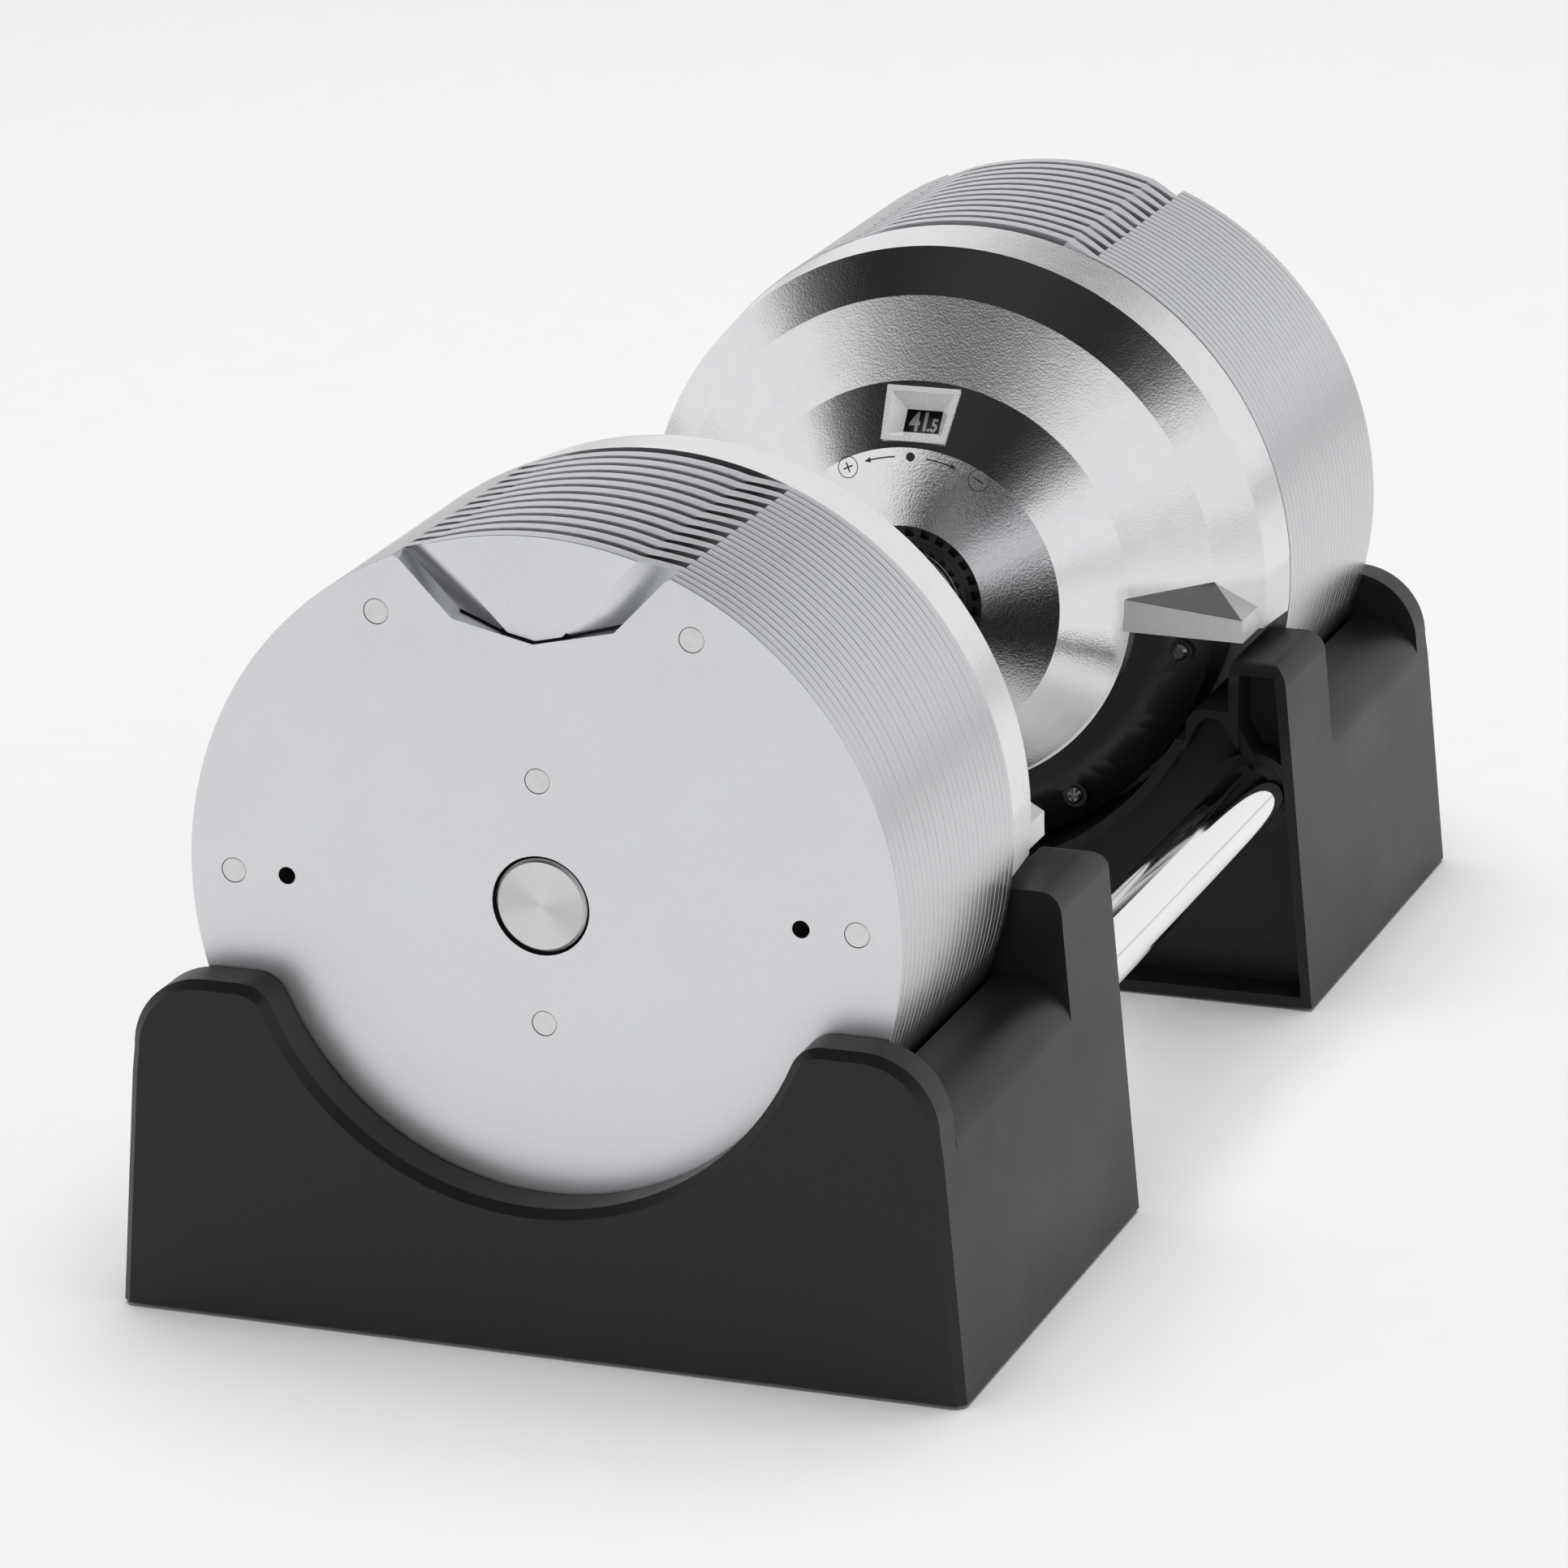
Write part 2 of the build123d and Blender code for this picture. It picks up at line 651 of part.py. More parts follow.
def post_body():
    """Both posts, with their outer and inner-end top edges rounded."""
    body = tower(0, POST_TOP, SADDLE_IN, POST_OUT)
    top = body.faces().sort_by(Axis.Z)[-1]
    outer = top.edges().sort_by(Axis.Y)[-1]
    end = top.edges().sort_by(Axis.X)[0]
    body = fillet([outer, end], POST_ROUND)
    return body + mirror(body, Plane.XZ)


def cheek():
    """The rounded lobe beside the head's bed that joins a post's inner end, on the +Y side."""
    lobe = block((SADDLE_IN, POST_OUT), (CHEEK_IN, POST_IN + 1), (CHEEK_FOOT, CHEEK_TOP))
    crown = lobe.edges().filter_by(Axis.X).group_by(Axis.Z)[-1].sort_by(Axis.Y)[0]
    return fillet(crown, CHEEK_ROUND)


def saddle_cavity():
    """What the moulding leaves hollow: a main space open below and a recess at the inner end."""
    face = saddle_outline(WALL)
    inner_end = (SADDLE_IN - 2, SADDLE_IN + RECESS_DEPTH)
    recess = extrude(Plane.YZ.offset(inner_end[0]) * face, inner_end[1] - inner_end[0])
    recess -= block((0, 200), (-200, 200), (BASE_Z - 5, BASE_Z + WALL))
    main_start = SADDLE_IN + BULKHEAD
    main = extrude(Plane.YZ.offset(main_start) * face, SADDLE_OUT - main_start - WALL)
    main = main + (Pos(0, 0, -5) * main)
    tower_in = tower(WALL, POST_TOP - WALL, *inner_end)
    tower_main = tower(WALL, POST_TOP - WALL, main_start, POST_OUT - WALL)
    for pocket in (tower_in, tower_main, slab(CHEEK_POCKET, *inner_end)):
        recess = recess + pocket + mirror(pocket, Plane.XZ)
    cavity = recess + main
    cavity -= rod(SADDLE_IN - 3, POST_OUT + WALL, HEAD_BED_R + WALL)
    cavity -= rod(POST_OUT, END_WALL_IN + WALL, PLATE_BED_R + WALL)
    cavity -= rod(END_WALL_IN, SADDLE_OUT + 1, CUT_R + WALL)
    return cavity


def saddle_ribs():
    """Webs left standing inside the moulding, and the sockets and bosses."""
    ribs = [block(CROSS_RIB, (-BASE_HALF, BASE_HALF), (BASE_Z, CHEEK_TOP))]
    for side in (-1, 1):
        ribs.append(rod(SADDLE_IN + 1.5, TUBE_END + WALL, SOCKET_R, side * TUBE_Y, TUBE_Z))
        ribs.append(post(BASE_Z, TUBE_Z, 7, TUBE_SCREW_X, side * TUBE_Y))
        ribs.append(slab([(side * y, z) for y, z in BRACE], SADDLE_IN + 0.5, SADDLE_IN + BULKHEAD))
        for x in PAD_X:
            ribs.append(post(BASE_Z, BASE_Z + 12, PAD_BOSS_R, x, side * PAD_Y))
    return ribs


def saddle():
    """One end's moulded saddle."""
    body = extrude(Plane.YZ.offset(SADDLE_IN) * saddle_outline(0), END_WALL_IN - SADDLE_IN)
    body += end_wall()
    body += post_body()
    body += cheek() + mirror(cheek(), Plane.XZ)
    keep = body
    cavity = saddle_cavity()
    for rib in saddle_ribs():
        cavity -= rib & keep
    body -= cavity
    body -= rod(SADDLE_IN - 1, POST_OUT + 0.4, HEAD_BED_R)
    body -= rod(POST_OUT + 0.3, END_WALL_IN, PLATE_BED_R)
    nub_x = (LOCK_PLATE_X[0] - 1, LOCK_PLATE_X[1] + 1)
    body += block(nub_x, (-4.5, 4.5), (-HEAD_BED_R - 2, -HEAD_BED_R + 1.3))
    for side in (-1, 1):
        body -= rod(SADDLE_IN - 2, TUBE_END + 0.2, TUBE_R + 0.05, side * TUBE_Y, TUBE_Z)
        body -= post(BASE_Z - 1, TUBE_Z, 2.1, TUBE_SCREW_X, side * TUBE_Y)
        body -= post(BASE_Z - 1, BASE_Z + 20, 4.8, TUBE_SCREW_X, side * TUBE_Y)
        for x in PAD_X:
            body -= post(BASE_Z - 1, BASE_Z + 2, PAD_R + 0.05, x, side * PAD_Y)
    return body


def tie_tube(side):
    """One chrome tube between the saddles, drilled for its screws."""
    y = side * TUBE_Y
    tube = rod(-TUBE_END, TUBE_END, TUBE_R, y, TUBE_Z) - rod(-TUBE_END, TUBE_END, TUBE_R - 1.5, y, TUBE_Z)
    for x in (-TUBE_SCREW_X, TUBE_SCREW_X):
        tube -= post(TUBE_Z - 12, TUBE_Z - 5, 2.1, x, y)
    return tube


def tube_screws():
    """The screws that hold the tubes from below."""
    made = []
    for side in (-1, 1):
        head = post(BASE_Z + 17, BASE_Z + 20, 4.5, TUBE_SCREW_X, side * TUBE_Y)
        shank = post(BASE_Z + 20, TUBE_Z - 5, 2.0, TUBE_SCREW_X, side * TUBE_Y)
        made.append(head + shank)
    return made


def rubber_feet():
    """The pads under one saddle."""
    at = [(x, side * PAD_Y) for x in PAD_X for side in (-1, 1)]
    return [post(BASE_Z - FOOT_PROUD, BASE_Z + 2, PAD_R, x, y) for x, y in at]


# ---------------------------------------------------------------- nodes

def raised(solids):
    """Solids moved up from the dumbbell's axis to the surface frame."""
    return [Pos(0, 0, AXIS_HEIGHT) * s for s in solids]


def write(name, solids):
    """Writes one node."""
    placed = raised(solids)
    shape = placed[0] if len(placed) == 1 else Compound(children=[s for p in placed for s in p.solids()])
    export_step(shape, f"parts/{name}.step")


def flipped(solids):
    """The near end's copy of far-end solids."""
    return [mirror(s, Plane.YZ) for s in solids]


def pair(name, solids):
    """Writes one node for each end."""
    write(f"{name}_far", solids)
    write(f"{name}_near", flipped(solids))


def group(name, solids):
    """Writes both ends' solids as one node."""
    write(name, solids + flipped(solids))


def main():
    os.makedirs("parts", exist_ok=True)
    pair("saddle", [saddle()])
    write("tie_tube_left", [tie_tube(1)])
    write("tie_tube_right", [tie_tube(-1)])
    group("tube_screws", tube_screws())
    group("rubber_feet", rubber_feet())

    pair("head_cover", [cover()])
    pair("head_housing", [carrier()])
    pair("back_plate", [back_plate()])
    write("guide_tube", [guide_tube()])
    group("window_bezels", [window_bezel()])
    group("window_lenses", [window_lens()])
    group("housing_screws", housing_screws())
    group("detent_balls", [detent_ball()])
    group("detent_springs", [detent_spring()])
    group("plate_rivets", rivets())
    for number, solids in weights().items():
        write(f"weight_far_{number}", solids)
        write(f"weight_near_{number}", flipped(solids))

    write("grip_tube", [grip_tube()])
    write("cam_sleeve", [cam_sleeve()])
    group("grip_collars", [collar()])
    pair("dial_ring", [dial_ring()])
    group("lock_rings", [lock_ring()])

    pair("plunger_rod", [plunger_rod()])
    pair("plunger_cap", [plunger_cap()])
    pair("follower_pin", [follower_pin()])
    pair("lock_plate", [lock_plate()])
    pair("lock_spring", [lock_spring()])


main()
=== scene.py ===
import math

import bmesh
import bpy
from mathutils import Matrix, Vector

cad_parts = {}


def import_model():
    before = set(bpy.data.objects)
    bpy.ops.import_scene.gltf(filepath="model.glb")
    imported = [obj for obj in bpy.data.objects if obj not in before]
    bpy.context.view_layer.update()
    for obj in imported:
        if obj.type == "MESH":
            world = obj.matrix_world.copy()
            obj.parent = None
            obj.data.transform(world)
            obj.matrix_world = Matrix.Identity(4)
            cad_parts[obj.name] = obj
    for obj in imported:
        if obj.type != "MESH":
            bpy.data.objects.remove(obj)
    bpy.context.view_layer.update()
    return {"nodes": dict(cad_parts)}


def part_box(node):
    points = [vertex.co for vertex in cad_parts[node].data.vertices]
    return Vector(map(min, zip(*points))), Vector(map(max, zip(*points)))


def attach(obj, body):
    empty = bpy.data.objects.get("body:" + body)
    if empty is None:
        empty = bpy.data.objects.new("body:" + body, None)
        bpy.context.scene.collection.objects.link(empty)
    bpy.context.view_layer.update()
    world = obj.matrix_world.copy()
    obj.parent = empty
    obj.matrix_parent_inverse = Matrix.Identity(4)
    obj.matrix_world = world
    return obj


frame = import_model()

# ---------------------------------------------------------------- sizes, in metres and degrees

MM = 0.001
SIDES = {"far": 1, "near": -1}

# Driving dimensions of the round parts, as (distance along the axis, radius)
HUB_CONE = ((0.0642, 0.0224), (0.0699, 0.0435))
DIAL_CONE = ((0.0776, 0.0403), (0.0876, 0.0526))
DIAL_RISE = 0.776
PRINT_LIFT = 0.03 * MM

# Numbers on the dials, in kilograms, one to each click of the grip
HEAVIEST = 41.5
STEP = 3.0
CLICKS = 12
CLICK = 27.5
TOP = 90.0
NUMBER_HEIGHT = 6.0 * MM
NUMBER_WIDTH = 8.6 * MM
NUMBER_ALONG = 9.0 * MM
NUMBER_LEFT = 0.7 * MM
NUMBER_GAP = 0.5 * MM
TENTH_SIZE = 0.7
BOLDER = 0.03
STRIP = 0.6 * MM

# Turning marks on the hub's cone
MARK_RADIUS = 41.0 * MM
MARK_LINE = 0.42 * MM
DOT_RADIUS = 1.3 * MM
ARROW = (6.5, 19.5)
ARROW_HEAD = 1.9 * MM
BARB = 0.42
SIGN_AT = {"plus": 63.0, "minus": 119.4}
SIGN_RADIUS = 3.0 * MM
SIGN_LINE = 0.24 * MM
SIGN_BAR = 1.5 * MM

# Where the castings' satin feet begin, above the axis and across it
FOOT_LOW = (3 * MM, 6 * MM)
FOOT_WIDE = (55 * MM, 58 * MM)

# Facets are merged below these, before the real edges are rounded
MERGE_WITHIN = 0.001 * MM
FLAT_WITHIN = 0.15

# Camera, aimed at the object from the side that the reference view shows
CAMERA_AT = (-1.79117, -0.66143, 0.70763)
CAMERA_AIM = (-0.014, 0.0083, 0.0856)
CAMERA_ROLL = -1.1
CAMERA_LENS = 168.0

# Stage: the sky's brightness by height (0 level, 1 overhead), the panel light and the floor
SKY = [(0.0, 0.92), (0.44, 0.90), (0.60, 0.12), (0.74, 0.02), (1.0, 0.05)]
PANEL_AT = (0.2, 0.0, 4.0)
PANEL_AIM = (0.2, 0.0, 0.1)
PANEL_SIZE = 4.2
PANEL_POWER = 165
FLOOR_RADIUS = 12.0
FLOOR_DROP = 0.02 * MM

axis_low, axis_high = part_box("grip_tube")
AXIS_Z = (axis_low.z + axis_high.z) / 2


# ---------------------------------------------------------------- materials

class Surface:
    """A Principled material, with short calls for its procedural detail."""

    def __init__(self, name, **sockets):
        self.material = bpy.data.materials.new(name)
        self.material.use_nodes = True
        self.tree = self.material.node_tree
        self.shader = self.tree.nodes["Principled BSDF"]
        self.place = self.tree.nodes.new("ShaderNodeTexCoord").outputs["Object"]
        for socket, value in sockets.items():
            self.shader.inputs[socket.replace("_", " ")].default_value = value

    def add(self, kind, inputs=None, **settings):
        """A node with its settings and its input values or links."""
        node = self.tree.nodes.new(kind)
        for name, value in settings.items():
            setattr(node, name, value)
        for name, value in (inputs or {}).items():
            if isinstance(value, bpy.types.NodeSocket):
                self.tree.links.new(value, node.inputs[name])
            else:
                node.inputs[name].default_value = value
        return node

    def noise(self, scale, detail=2.0, roughness=0.5):
        """Noise with a scale in cycles per metre along each axis."""
        stretch = scale if isinstance(scale, tuple) else (scale, scale, scale)
        mapped = self.add("ShaderNodeMapping", {"Vector": self.place, "Scale": stretch})
        inputs = {"Vector": mapped.outputs[0], "Scale": 1.0, "Detail": detail, "Roughness": roughness}
        return self.add("ShaderNodeTexNoise", inputs).outputs["Fac"]

    def fit(self, value, low, high, start=0.3, end=0.7):
        """A value from start to end stretched to run from low to high."""
        inputs = {"Value": value, "From Min": start, "From Max": end, "To Min": low, "To Max": high}
        return self.add("ShaderNodeMapRange", inputs).outputs["Result"]

    def blend(self, share, first, second):
        """A number between first and second."""
        inputs = {0: share, 2: first, 3: second}
        return self.add("ShaderNodeMix", inputs, data_type="FLOAT").outputs[0]

    def tint(self, share, first, second):
        """A colour between first and second."""
        inputs = {0: share, 6: (*first, 1), 7: (*second, 1)}
        return self.add("ShaderNodeMix", inputs, data_type="RGBA").outputs[2]

    def math(self, operation, first, second=0.0):
        """A Math node's result."""
        return self.add("ShaderNodeMath", {0: first, 1: second}, operation=operation).outputs[0]

    def end_on(self):
        """One where the surface faces along the dumbbell, zero on its rims."""
        normal = self.add("ShaderNodeNewGeometry").outputs["Normal"]
        along = self.add("ShaderNodeSeparateXYZ", {0: normal}).outputs["X"]
        return self.fit(self.math("ABSOLUTE", along), 0.0, 1.0, 0.75, 0.95)

    def bump(self, *layers):
        """Bumps laid over each other, each as (height, depth in metres)."""
        normal = None
        for height, depth in layers:
            inputs = {"Height": height, "Distance": depth, "Strength": 1.0}
            if normal is not None:
                inputs["Normal"] = normal
            normal = self.add("ShaderNodeBump", inputs).outputs["Normal"]
        self.use("Normal", normal)

    def use(self, socket, value):
        """Links a value to the shader."""
        self.tree.links.new(value, self.shader.inputs[socket])

    def spin(self, amount):
        """Fine turned lines round the dumbbell's axis stretch the highlights."""
        self.shader.inputs["Anisotropic"].default_value = amount
        tangent = self.add("ShaderNodeTangent", direction_type="RADIAL", axis="X")
        self.use("Tangent", tangent.outputs[0])


def plate_steel():
    """Zinc-plated sheet: faint mottling and speckle on its faces, drawn lines on its rims."""
    s = Surface("plate_steel", Metallic=1.0)
    face = s.end_on()
    mottle = s.noise(42, 4.0, 0.6)
    speckle = s.noise(2100, 2.0)
    lines = s.noise((5200, 34, 34), 3.0, 0.7)
    grainy = s.math("MULTIPLY", s.fit(mottle, 0.8, 1.0), s.fit(speckle, 0.8, 1.0, 0.35, 0.65))
    shade = s.blend(face, s.fit(lines, 0.0, 0.35), grainy)
    s.use("Base Color", s.tint(shade, (0.56, 0.57, 0.585), (0.76, 0.775, 0.80)))
    rim_rough = s.fit(lines, 0.20, 0.34)
    face_rough = s.fit(mottle, 0.36, 0.44)
    s.use("Roughness", s.blend(face, rim_rough, face_rough))
    s.bump((speckle, 0.022 * MM), (lines, 0.010 * MM))
    return s.material


def cover_metal():
    """Satin-chromed die casting with a fine orange-peel grain, matter at its feet."""
    s = Surface("cover_metal", Metallic=1.0)
    peel = s.noise(1500, 3.0, 0.6)
    wave = s.noise(160, 2.0)
    s.use("Base Color", s.tint(wave, (0.74, 0.75, 0.765), (0.82, 0.825, 0.83)))
    at = s.add("ShaderNodeSeparateXYZ", {0: s.place})
    low = s.fit(at.outputs["Z"], 1.0, 0.0, AXIS_Z + FOOT_LOW[0], AXIS_Z + FOOT_LOW[1])
    wide = s.fit(s.math("ABSOLUTE", at.outputs["Y"]), 0.0, 1.0, *FOOT_WIDE)
    foot = s.math("MULTIPLY", low, wide)
    s.use("Roughness", s.blend(foot, s.fit(peel, 0.10, 0.17), 0.5))
    s.bump((peel, 0.055 * MM), (wave, 0.02 * MM))
    return s.material


def turned_steel(name, colour, rough, amount, lines_per_metre):
    """Bright steel with lines turned round the dumbbell's axis."""
    s = Surface(name, Metallic=1.0)
    lines = s.noise((lines_per_metre, 9, 9), 3.0, 0.7)
    smudge = s.noise(60, 3.0)
    darker = tuple(c * 0.93 for c in colour)
    s.use("Base Color", s.tint(smudge, darker, colour))
    s.use("Roughness", s.fit(lines, rough * 0.8, rough * 1.25))
    s.bump((lines, 0.006 * MM))
    s.spin(amount)
    return s.material


def tube_chrome():
    """Polished chrome with a few faint lengthwise wipe marks."""
    s = Surface("tube_chrome", Metallic=1.0)
    wipes = s.noise((14, 900, 900), 2.0)
    cloud = s.noise(55, 3.0)
    s.use("Base Color", s.tint(cloud, (0.86, 0.865, 0.87), (0.93, 0.93, 0.93)))
    s.use("Roughness", s.fit(wipes, 0.035, 0.085))
    s.bump((wipes, 0.0012 * MM))
    return s.material


def cap_spun():
    """A machined disc: concentric lines that fan the light."""
    s = Surface("cap_spun", Metallic=1.0)
    level = s.add("ShaderNodeVectorMath", {0: s.place, 1: (0, 0, AXIS_Z)}, operation="SUBTRACT")
    flat = s.add("ShaderNodeVectorMath", {0: level.outputs[0], 1: (0, 1, 1)}, operation="MULTIPLY")
    radius = s.add("ShaderNodeVectorMath", {0: flat.outputs[0]}, operation="LENGTH").outputs["Value"]
    where = s.add("ShaderNodeCombineXYZ", {"X": s.math("MULTIPLY", radius, 7000.0)}).outputs[0]
    rings = s.add("ShaderNodeTexNoise", {"Vector": where, "Scale": 1.0, "Detail": 2.0}).outputs["Fac"]
    s.use("Base Color", s.tint(rings, (0.70, 0.705, 0.715), (0.86, 0.86, 0.865)))
    s.use("Roughness", s.fit(rings, 0.38, 0.48))
    s.bump((rings, 0.010 * MM))
    s.spin(0.95)
    return s.material


def bezel_metal():
    """The window's satin frame."""
    s = Surface("bezel_metal", Metallic=0.35)
    grain = s.noise(2400, 2.0)
    cloud = s.noise(300, 2.0)
    s.use("Base Color", s.tint(cloud, (0.74, 0.745, 0.75), (0.84, 0.84, 0.845)))
    s.use("Roughness", s.fit(grain, 0.22, 0.34))
    s.bump((grain, 0.008 * MM))
    return s.material


def small_steel(name, colour, rough):
    """Plated steel of the rivets, screws and springs."""
    s = Surface(name, Metallic=1.0)
    grain = s.noise(2600, 3.0)
    cloud = s.noise(380, 2.0)
    darker = tuple(c * 0.85 for c in colour)
    s.use("Base Color", s.tint(cloud, darker, colour))
    s.use("Roughness", s.fit(grain, rough * 0.8, rough * 1.2))
    s.bump((grain, 0.012 * MM))
    return s.material


def moulded_black(name, colour, rough, grain_depth, specular=0.5):
    """Black moulded plastic with a spark-eroded grain and slight uneven gloss."""
    s = Surface(name, Specular_IOR_Level=specular)
    grain = s.noise(2300, 3.0, 0.6)
    cloud = s.noise(26, 3.0)
    lighter = tuple(c * 1.35 for c in colour)
    s.use("Base Color", s.tint(cloud, colour, lighter))
    gloss = s.math("ADD", s.fit(grain, -0.05, 0.05), s.fit(cloud, rough - 0.03, rough + 0.04))
    s.use("Roughness", gloss)
    s.bump((grain, grain_depth), (cloud, 0.05 * MM))
    return s.material


def rubber():
    """Matt black rubber."""
    s = Surface("rubber", Specular_IOR_Level=0.3)
    grain = s.noise(3000, 3.0)
    s.use("Base Color", s.tint(grain, (0.012, 0.012, 0.012), (0.022, 0.022, 0.023)))
    s.use("Roughness", s.fit(grain, 0.72, 0.86))
    s.bump((grain, 0.03 * MM))
    return s.material


def lens_clear():
    """The window's clear pane."""
    s = Surface("lens_clear", IOR=1.49, Transmission_Weight=1.0)
    smear = s.noise(240, 2.0)
    s.use("Base Color", s.tint(smear, (0.96, 0.975, 0.97), (0.99, 0.995, 0.99)))
    s.use("Roughness", s.fit(smear, 0.0, 0.03))
    return s.material


def print_ink(name, colour):
    """Printed or filled marks, slightly uneven at their edges."""
    s = Surface(name, Specular_IOR_Level=0.2)
    grain = s.noise(2800, 3.0)
    darker = tuple(c * 0.8 for c in colour)
    s.use("Base Color", s.tint(grain, darker, colour))
    s.use("Roughness", s.fit(grain, 0.45, 0.62))
    s.bump((grain, 0.004 * MM))
    return s.material


MATERIALS = {
    "plate_steel": plate_steel(),
    "cover_metal": cover_metal(),
    "grip_steel": turned_steel("grip_steel", (0.83, 0.835, 0.845), 0.20, 0.55, 4200),
    "mechanism_steel": turned_steel("mechanism_steel", (0.62, 0.625, 0.63), 0.30, 0.3, 2600),
    "tube_chrome": tube_chrome(),
    "cap_spun": cap_spun(),
    "bezel_metal": bezel_metal(),
    "rivet_steel": small_steel("rivet_steel", (0.74, 0.74, 0.735), 0.30),
    "screw_steel": small_steel("screw_steel", (0.30, 0.30, 0.31), 0.26),
    "cradle_plastic": moulded_black("cradle_plastic", (0.007, 0.007, 0.0075), 0.42, 0.035 * MM, 0.34),
    "housing_black": moulded_black("housing_black", (0.009, 0.009, 0.009), 0.40, 0.02 * MM),
    "collar_black": moulded_black("collar_black", (0.010, 0.010, 0.010), 0.34, 0.015 * MM),
    "dial_black": moulded_black("dial_black", (0.008, 0.008, 0.008), 0.38, 0.008 * MM),
    "rubber": rubber(),
    "lens_clear": lens_clear(),
}


def paint_nodes():
    """Gives each CAD node the finish of its slot."""
    for node in frame["nodes"].values():
        for slot in node.material_slots:
            slot.material = MATERIALS[slot.material.name.split(".")[0]]


# ---------------------------------------------------------------- edges of the CAD nodes

def ease_edges(name, width, sharpest, segments=2):
    """Merges a node's flat facets and rounds its edges that turn by more than an angle."""
    node = frame["nodes"][name]
    weld = node.modifiers.new("weld", "WELD")
    weld.merge_threshold = MERGE_WITHIN
    flatten = node.modifiers.new("flatten", "DECIMATE")
    flatten.decimate_type = "DISSOLVE"
    flatten.angle_limit = math.radians(FLAT_WITHIN)
    ease = node.modifiers.new("ease", "BEVEL")
    ease.width = width
    ease.segments = segments
    ease.limit_method = "ANGLE"
    ease.angle_limit = math.radians(sharpest)
    ease.harden_normals = True
    ease.miter_outer = "MITER_ARC"
    shade = node.modifiers.new("shade", "WEIGHTED_NORMAL")
    shade.keep_sharp = False
    shade.weight = 100


def ease_all():
    """Rounds the visible edges, each as its making leaves it."""
    for end in SIDES:
        ease_edges(f"saddle_{end}", 0.6 * MM, 30, 3)
        ease_edges(f"head_cover_{end}", 0.35 * MM, 9, 2)
        ease_edges(f"head_housing_{end}", 0.3 * MM, 30, 2)
        for number in range(1, CLICKS + 1):
            ease_edges(f"weight_{end}_{number:02d}", 0.16 * MM, 50, 1)
    ease_edges("plate_rivets", 0.35 * MM, 50, 2)
    ease_edges("grip_collars", 0.2 * MM, 50, 2)


# ---------------------------------------------------------------- printed marks

def piece(name, mesh, material, body):
    """A finished mesh as a piece that rides on a body."""
    made = bpy.data.objects.new(name, mesh)
    bpy.context.scene.collection.objects.link(made)
    made.data.materials.clear()
    made.data.materials.append(material)
    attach(made, body)
    return made


def on_cone(cone, side, angle, along, lift):
    """A point on a cone round the axis, at a distance along its slope and a lift off it."""
    (x0, r0), (x1, r1) = cone
    length = math.hypot(x1 - x0, r1 - r0)
    slope_x = (x1 - x0) / length
    slope_r = (r1 - r0) / length
    x = x0 + slope_x * along - slope_r * lift
    r = r0 + slope_r * along + slope_x * lift
    return Vector((side * x, r * math.cos(angle), AXIS_Z + r * math.sin(angle)))


def flat_text(text, height):
    """A filled, bold outline of some characters, from the origin to the right and up."""
    curve = bpy.data.curves.new("text", "FONT")
    curve.body = text
    curve.offset = BOLDER
    holder = bpy.data.objects.new("text", curve)
    bpy.context.scene.collection.objects.link(holder)
    graph = bpy.context.evaluated_depsgraph_get()
    mesh = bpy.data.meshes.new_from_object(holder.evaluated_get(graph))
    bpy.data.objects.remove(holder)
    bm = bmesh.new()
    bm.from_mesh(mesh)
    bpy.data.meshes.remove(mesh)
    bmesh.ops.remove_doubles(bm, verts=bm.verts, dist=1e-5)
    left = min(v.co.x for v in bm.verts)
    low = min(v.co.y for v in bm.verts)
    tall = max(v.co.y for v in bm.verts) - low
    for v in bm.verts:
        v.co = Vector((v.co.x - left, v.co.y - low, 0)) * height / tall
    return bm


def width_of(bm):
    """How far a flat outline reaches to the right."""
    return max(v.co.x for v in bm.verts)


def slice_up(bm, spacing):
    """Cuts a flat outline into narrow upright strips, so that it can bend."""
    for i in range(1, int(width_of(bm) / spacing) + 1):
        geometry = bm.verts[:] + bm.edges[:] + bm.faces[:]
        bmesh.ops.bisect_plane(bm, geom=geometry, plane_co=(i * spacing, 0, 0), plane_no=(1, 0, 0))


def add_number(target, side, click):
    """Adds one number to a dial's mesh, its tenths smaller than the rest."""
    whole, tenth = f"{HEAVIEST - STEP * click:.1f}".split(".")
    large = flat_text(whole, NUMBER_HEIGHT)
    small = flat_text("." + tenth, NUMBER_HEIGHT * TENTH_SIZE)
    shift = width_of(large) + NUMBER_GAP
    total = shift + width_of(small)
    squeeze = min(1.0, NUMBER_WIDTH / total)
    centre = math.radians(TOP - CLICK * click)
    radius = DIAL_CONE[0][1] + DIAL_RISE * NUMBER_ALONG
    for bm, start in ((large, 0.0), (small, shift)):
        slice_up(bm, STRIP)
        copies = {}
        for v in bm.verts:
            across = (start + v.co.x - total / 2) * squeeze - NUMBER_LEFT
            along = NUMBER_ALONG - NUMBER_HEIGHT / 2 + v.co.y
            copies[v] = target.verts.new(
                on_cone(DIAL_CONE, side, centre + side * across / radius, along, PRINT_LIFT)
            )
        for face in bm.faces:
            target.faces.new([copies[v] for v in face.verts])
        bm.free()


def finish_mesh(bm, name):
    """A mesh from a bmesh."""
    mesh = bpy.data.meshes.new(name)
    bm.to_mesh(mesh)
    bm.free()
    return mesh


def dial_numbers():
    """White numbers round each dial, one to each click."""
    ink = print_ink("number_ink", (0.95, 0.95, 0.93))
    for end, side in SIDES.items():
        bm = bmesh.new()
        for click in range(CLICKS + 1):
            add_number(bm, side, click)
        name = f"dial_numbers_{end}"
        piece(name, finish_mesh(bm, name), ink, "grip")


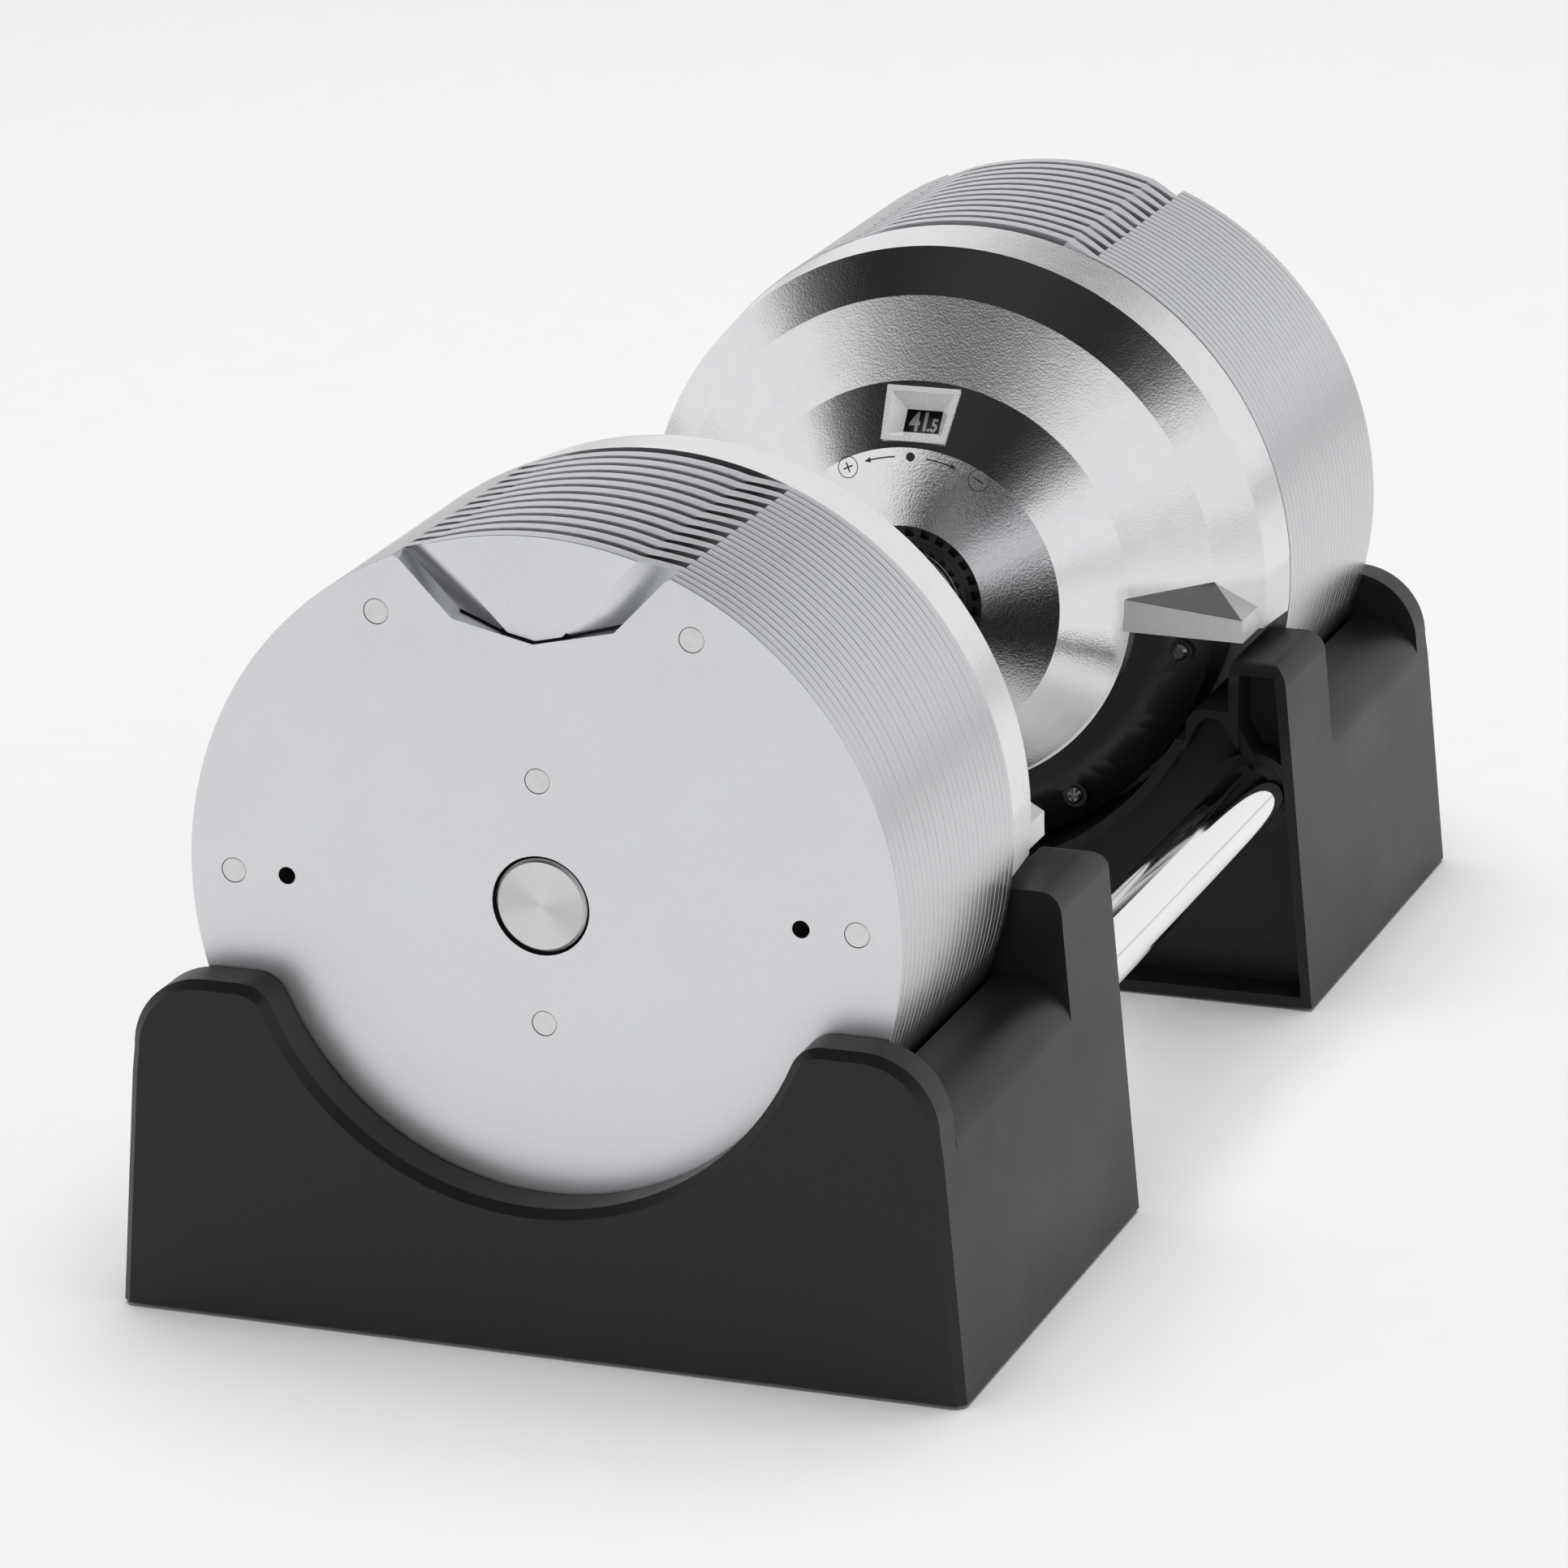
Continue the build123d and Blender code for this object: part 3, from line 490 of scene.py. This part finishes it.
def add_strip(bm, side, points, width, closed=False):
    """A flat line on the hub's cone through (across, along) points round the top mark."""
    count = len(points)
    rows = []
    for i, (across, along) in enumerate(points):
        before = points[i - 1] if i or closed else points[i]
        after = points[(i + 1) % count] if i < count - 1 or closed else points[i]
        run = Vector((after[0] - before[0], after[1] - before[1])).normalized()
        row = []
        for edge in (-0.5, 0.5):
            u = across - run.y * width * edge
            w = along + run.x * width * edge
            row.append(bm.verts.new(hub_point(side, u, w)))
        rows.append(row)
    pairs = zip(rows, rows[1:] + rows[:1]) if closed else zip(rows, rows[1:])
    for first, second in pairs:
        bm.faces.new((first[0], second[0], second[1], first[1]))


def hub_point(side, across, along):
    """A point on the hub's cone: an arc length from the top and a distance from the mark's circle."""
    (x0, r0), (x1, r1) = HUB_CONE
    slope = (r1 - r0) / math.hypot(x1 - x0, r1 - r0)
    angle = math.radians(TOP) + across / MARK_RADIUS
    return on_cone(HUB_CONE, side, angle, (MARK_RADIUS - r0) / slope + along, PRINT_LIFT)


def ring_points(across, radius, count=36):
    """Points round a small circle on the hub."""
    turn = 2 * math.pi / count
    return [(across + radius * math.cos(i * turn), radius * math.sin(i * turn)) for i in range(count)]


def straight(start, end, count=8):
    """Evenly spaced points from start to end."""
    steps = [i / (count - 1) for i in range(count)]
    return [(start[0] + (end[0] - start[0]) * t, start[1] + (end[1] - start[1]) * t) for t in steps]


def add_fan(bm, side, outline):
    """A filled convex patch on the hub."""
    centre_u = sum(p[0] for p in outline) / len(outline)
    centre_w = sum(p[1] for p in outline) / len(outline)
    middle = bm.verts.new(hub_point(side, centre_u, centre_w))
    rim = [bm.verts.new(hub_point(side, *p)) for p in outline]
    for first, second in zip(rim, rim[1:] + rim[:1]):
        bm.faces.new((middle, first, second))


def turning_marks():
    """The dot, the two arrows and the plus and minus signs on each hub."""
    ink = print_ink("mark_ink", (0.035, 0.035, 0.037))
    for end, side in SIDES.items():
        bm = bmesh.new()
        add_fan(bm, side, ring_points(0, DOT_RADIUS))
        for way in (-1, 1):
            start = way * math.radians(ARROW[0]) * MARK_RADIUS
            tip = way * math.radians(ARROW[1]) * MARK_RADIUS
            add_strip(bm, side, straight((start, 0), (tip - way * ARROW_HEAD, 0)), MARK_LINE)
            barb = tip - way * ARROW_HEAD
            add_fan(bm, side, [(tip, 0), (barb, ARROW_HEAD * BARB), (barb, -ARROW_HEAD * BARB)])
        for sign, angle in SIGN_AT.items():
            at = math.radians(angle - TOP) * MARK_RADIUS
            add_strip(bm, side, ring_points(at, SIGN_RADIUS), SIGN_LINE, closed=True)
            add_strip(bm, side, straight((at - SIGN_BAR, 0), (at + SIGN_BAR, 0)), MARK_LINE)
            if sign == "plus":
                add_strip(bm, side, straight((at, -SIGN_BAR), (at, -MARK_LINE / 2)), MARK_LINE)
                add_strip(bm, side, straight((at, MARK_LINE / 2), (at, SIGN_BAR)), MARK_LINE)
        name = f"turning_marks_{end}"
        piece(name, finish_mesh(bm, name), ink, "dumbbell")


# ---------------------------------------------------------------- stage

def camera():
    """The reference view's place and direction, with a longer lens so that the object fills the frame."""
    data = bpy.data.cameras.new("camera")
    data.lens = CAMERA_LENS
    data.clip_start = 0.05
    data.clip_end = 60
    made = bpy.data.objects.new("camera", data)
    bpy.context.scene.collection.objects.link(made)
    ahead = Vector(CAMERA_AIM) - Vector(CAMERA_AT)
    turn = ahead.to_track_quat("-Z", "Y").to_matrix().to_4x4()
    roll = Matrix.Rotation(math.radians(CAMERA_ROLL), 4, "Z")
    made.matrix_world = Matrix.Translation(CAMERA_AT) @ turn @ roll
    bpy.context.scene.camera = made


def floor():
    """A wide, plain, pale floor."""
    s = Surface("floor", Specular_IOR_Level=0.2)
    grain = s.noise(60, 3.0)
    s.use("Base Color", s.tint(grain, (0.86, 0.86, 0.86), (0.88, 0.88, 0.88)))
    s.use("Roughness", s.fit(grain, 0.75, 0.85))
    bm = bmesh.new()
    bmesh.ops.create_circle(bm, cap_ends=True, radius=FLOOR_RADIUS, segments=96)
    made = bpy.data.objects.new("floor", finish_mesh(bm, "floor"))
    made.data.materials.append(s.material)
    bpy.context.scene.collection.objects.link(made)
    made.location.z = -FLOOR_DROP


def world():
    """A studio that is bright round the horizon and dark overhead."""
    made = bpy.data.worlds.new("studio")
    bpy.context.scene.world = made
    made.use_nodes = True
    tree = made.node_tree
    way = tree.nodes.new("ShaderNodeTexCoord").outputs["Generated"]
    split = tree.nodes.new("ShaderNodeSeparateXYZ")
    tree.links.new(way, split.inputs[0])
    ramp = tree.nodes.new("ShaderNodeValToRGB")
    ramp.color_ramp.interpolation = "EASE"
    elements = ramp.color_ramp.elements
    while len(elements) < len(SKY):
        elements.new(0.5)
    for element, (position, level) in zip(elements, SKY):
        element.position = position
        element.color = (level, level, level * 1.01, 1)
    tree.links.new(split.outputs["Z"], ramp.inputs[0])
    background = tree.nodes["Background"]
    tree.links.new(ramp.outputs[0], background.inputs["Color"])
    background.inputs["Strength"].default_value = 1.0


def soft_light(name, at, aim, size, power):
    """A large soft panel that lights without showing in the metal."""
    data = bpy.data.lights.new(name, "AREA")
    data.shape = "DISK"
    data.size = size
    data.energy = power
    made = bpy.data.objects.new(name, data)
    bpy.context.scene.collection.objects.link(made)
    made.location = at
    made.rotation_mode = "QUATERNION"
    made.rotation_quaternion = (Vector(aim) - Vector(at)).to_track_quat("-Z", "Y")
    made.visible_glossy = False


def stage():
    """Camera, floor, world and lights."""
    camera()
    floor()
    world()
    soft_light("overhead", PANEL_AT, PANEL_AIM, PANEL_SIZE, PANEL_POWER)
    bpy.context.scene.view_settings.view_transform = "Standard"


paint_nodes()
ease_all()
dial_numbers()
turning_marks()
stage()
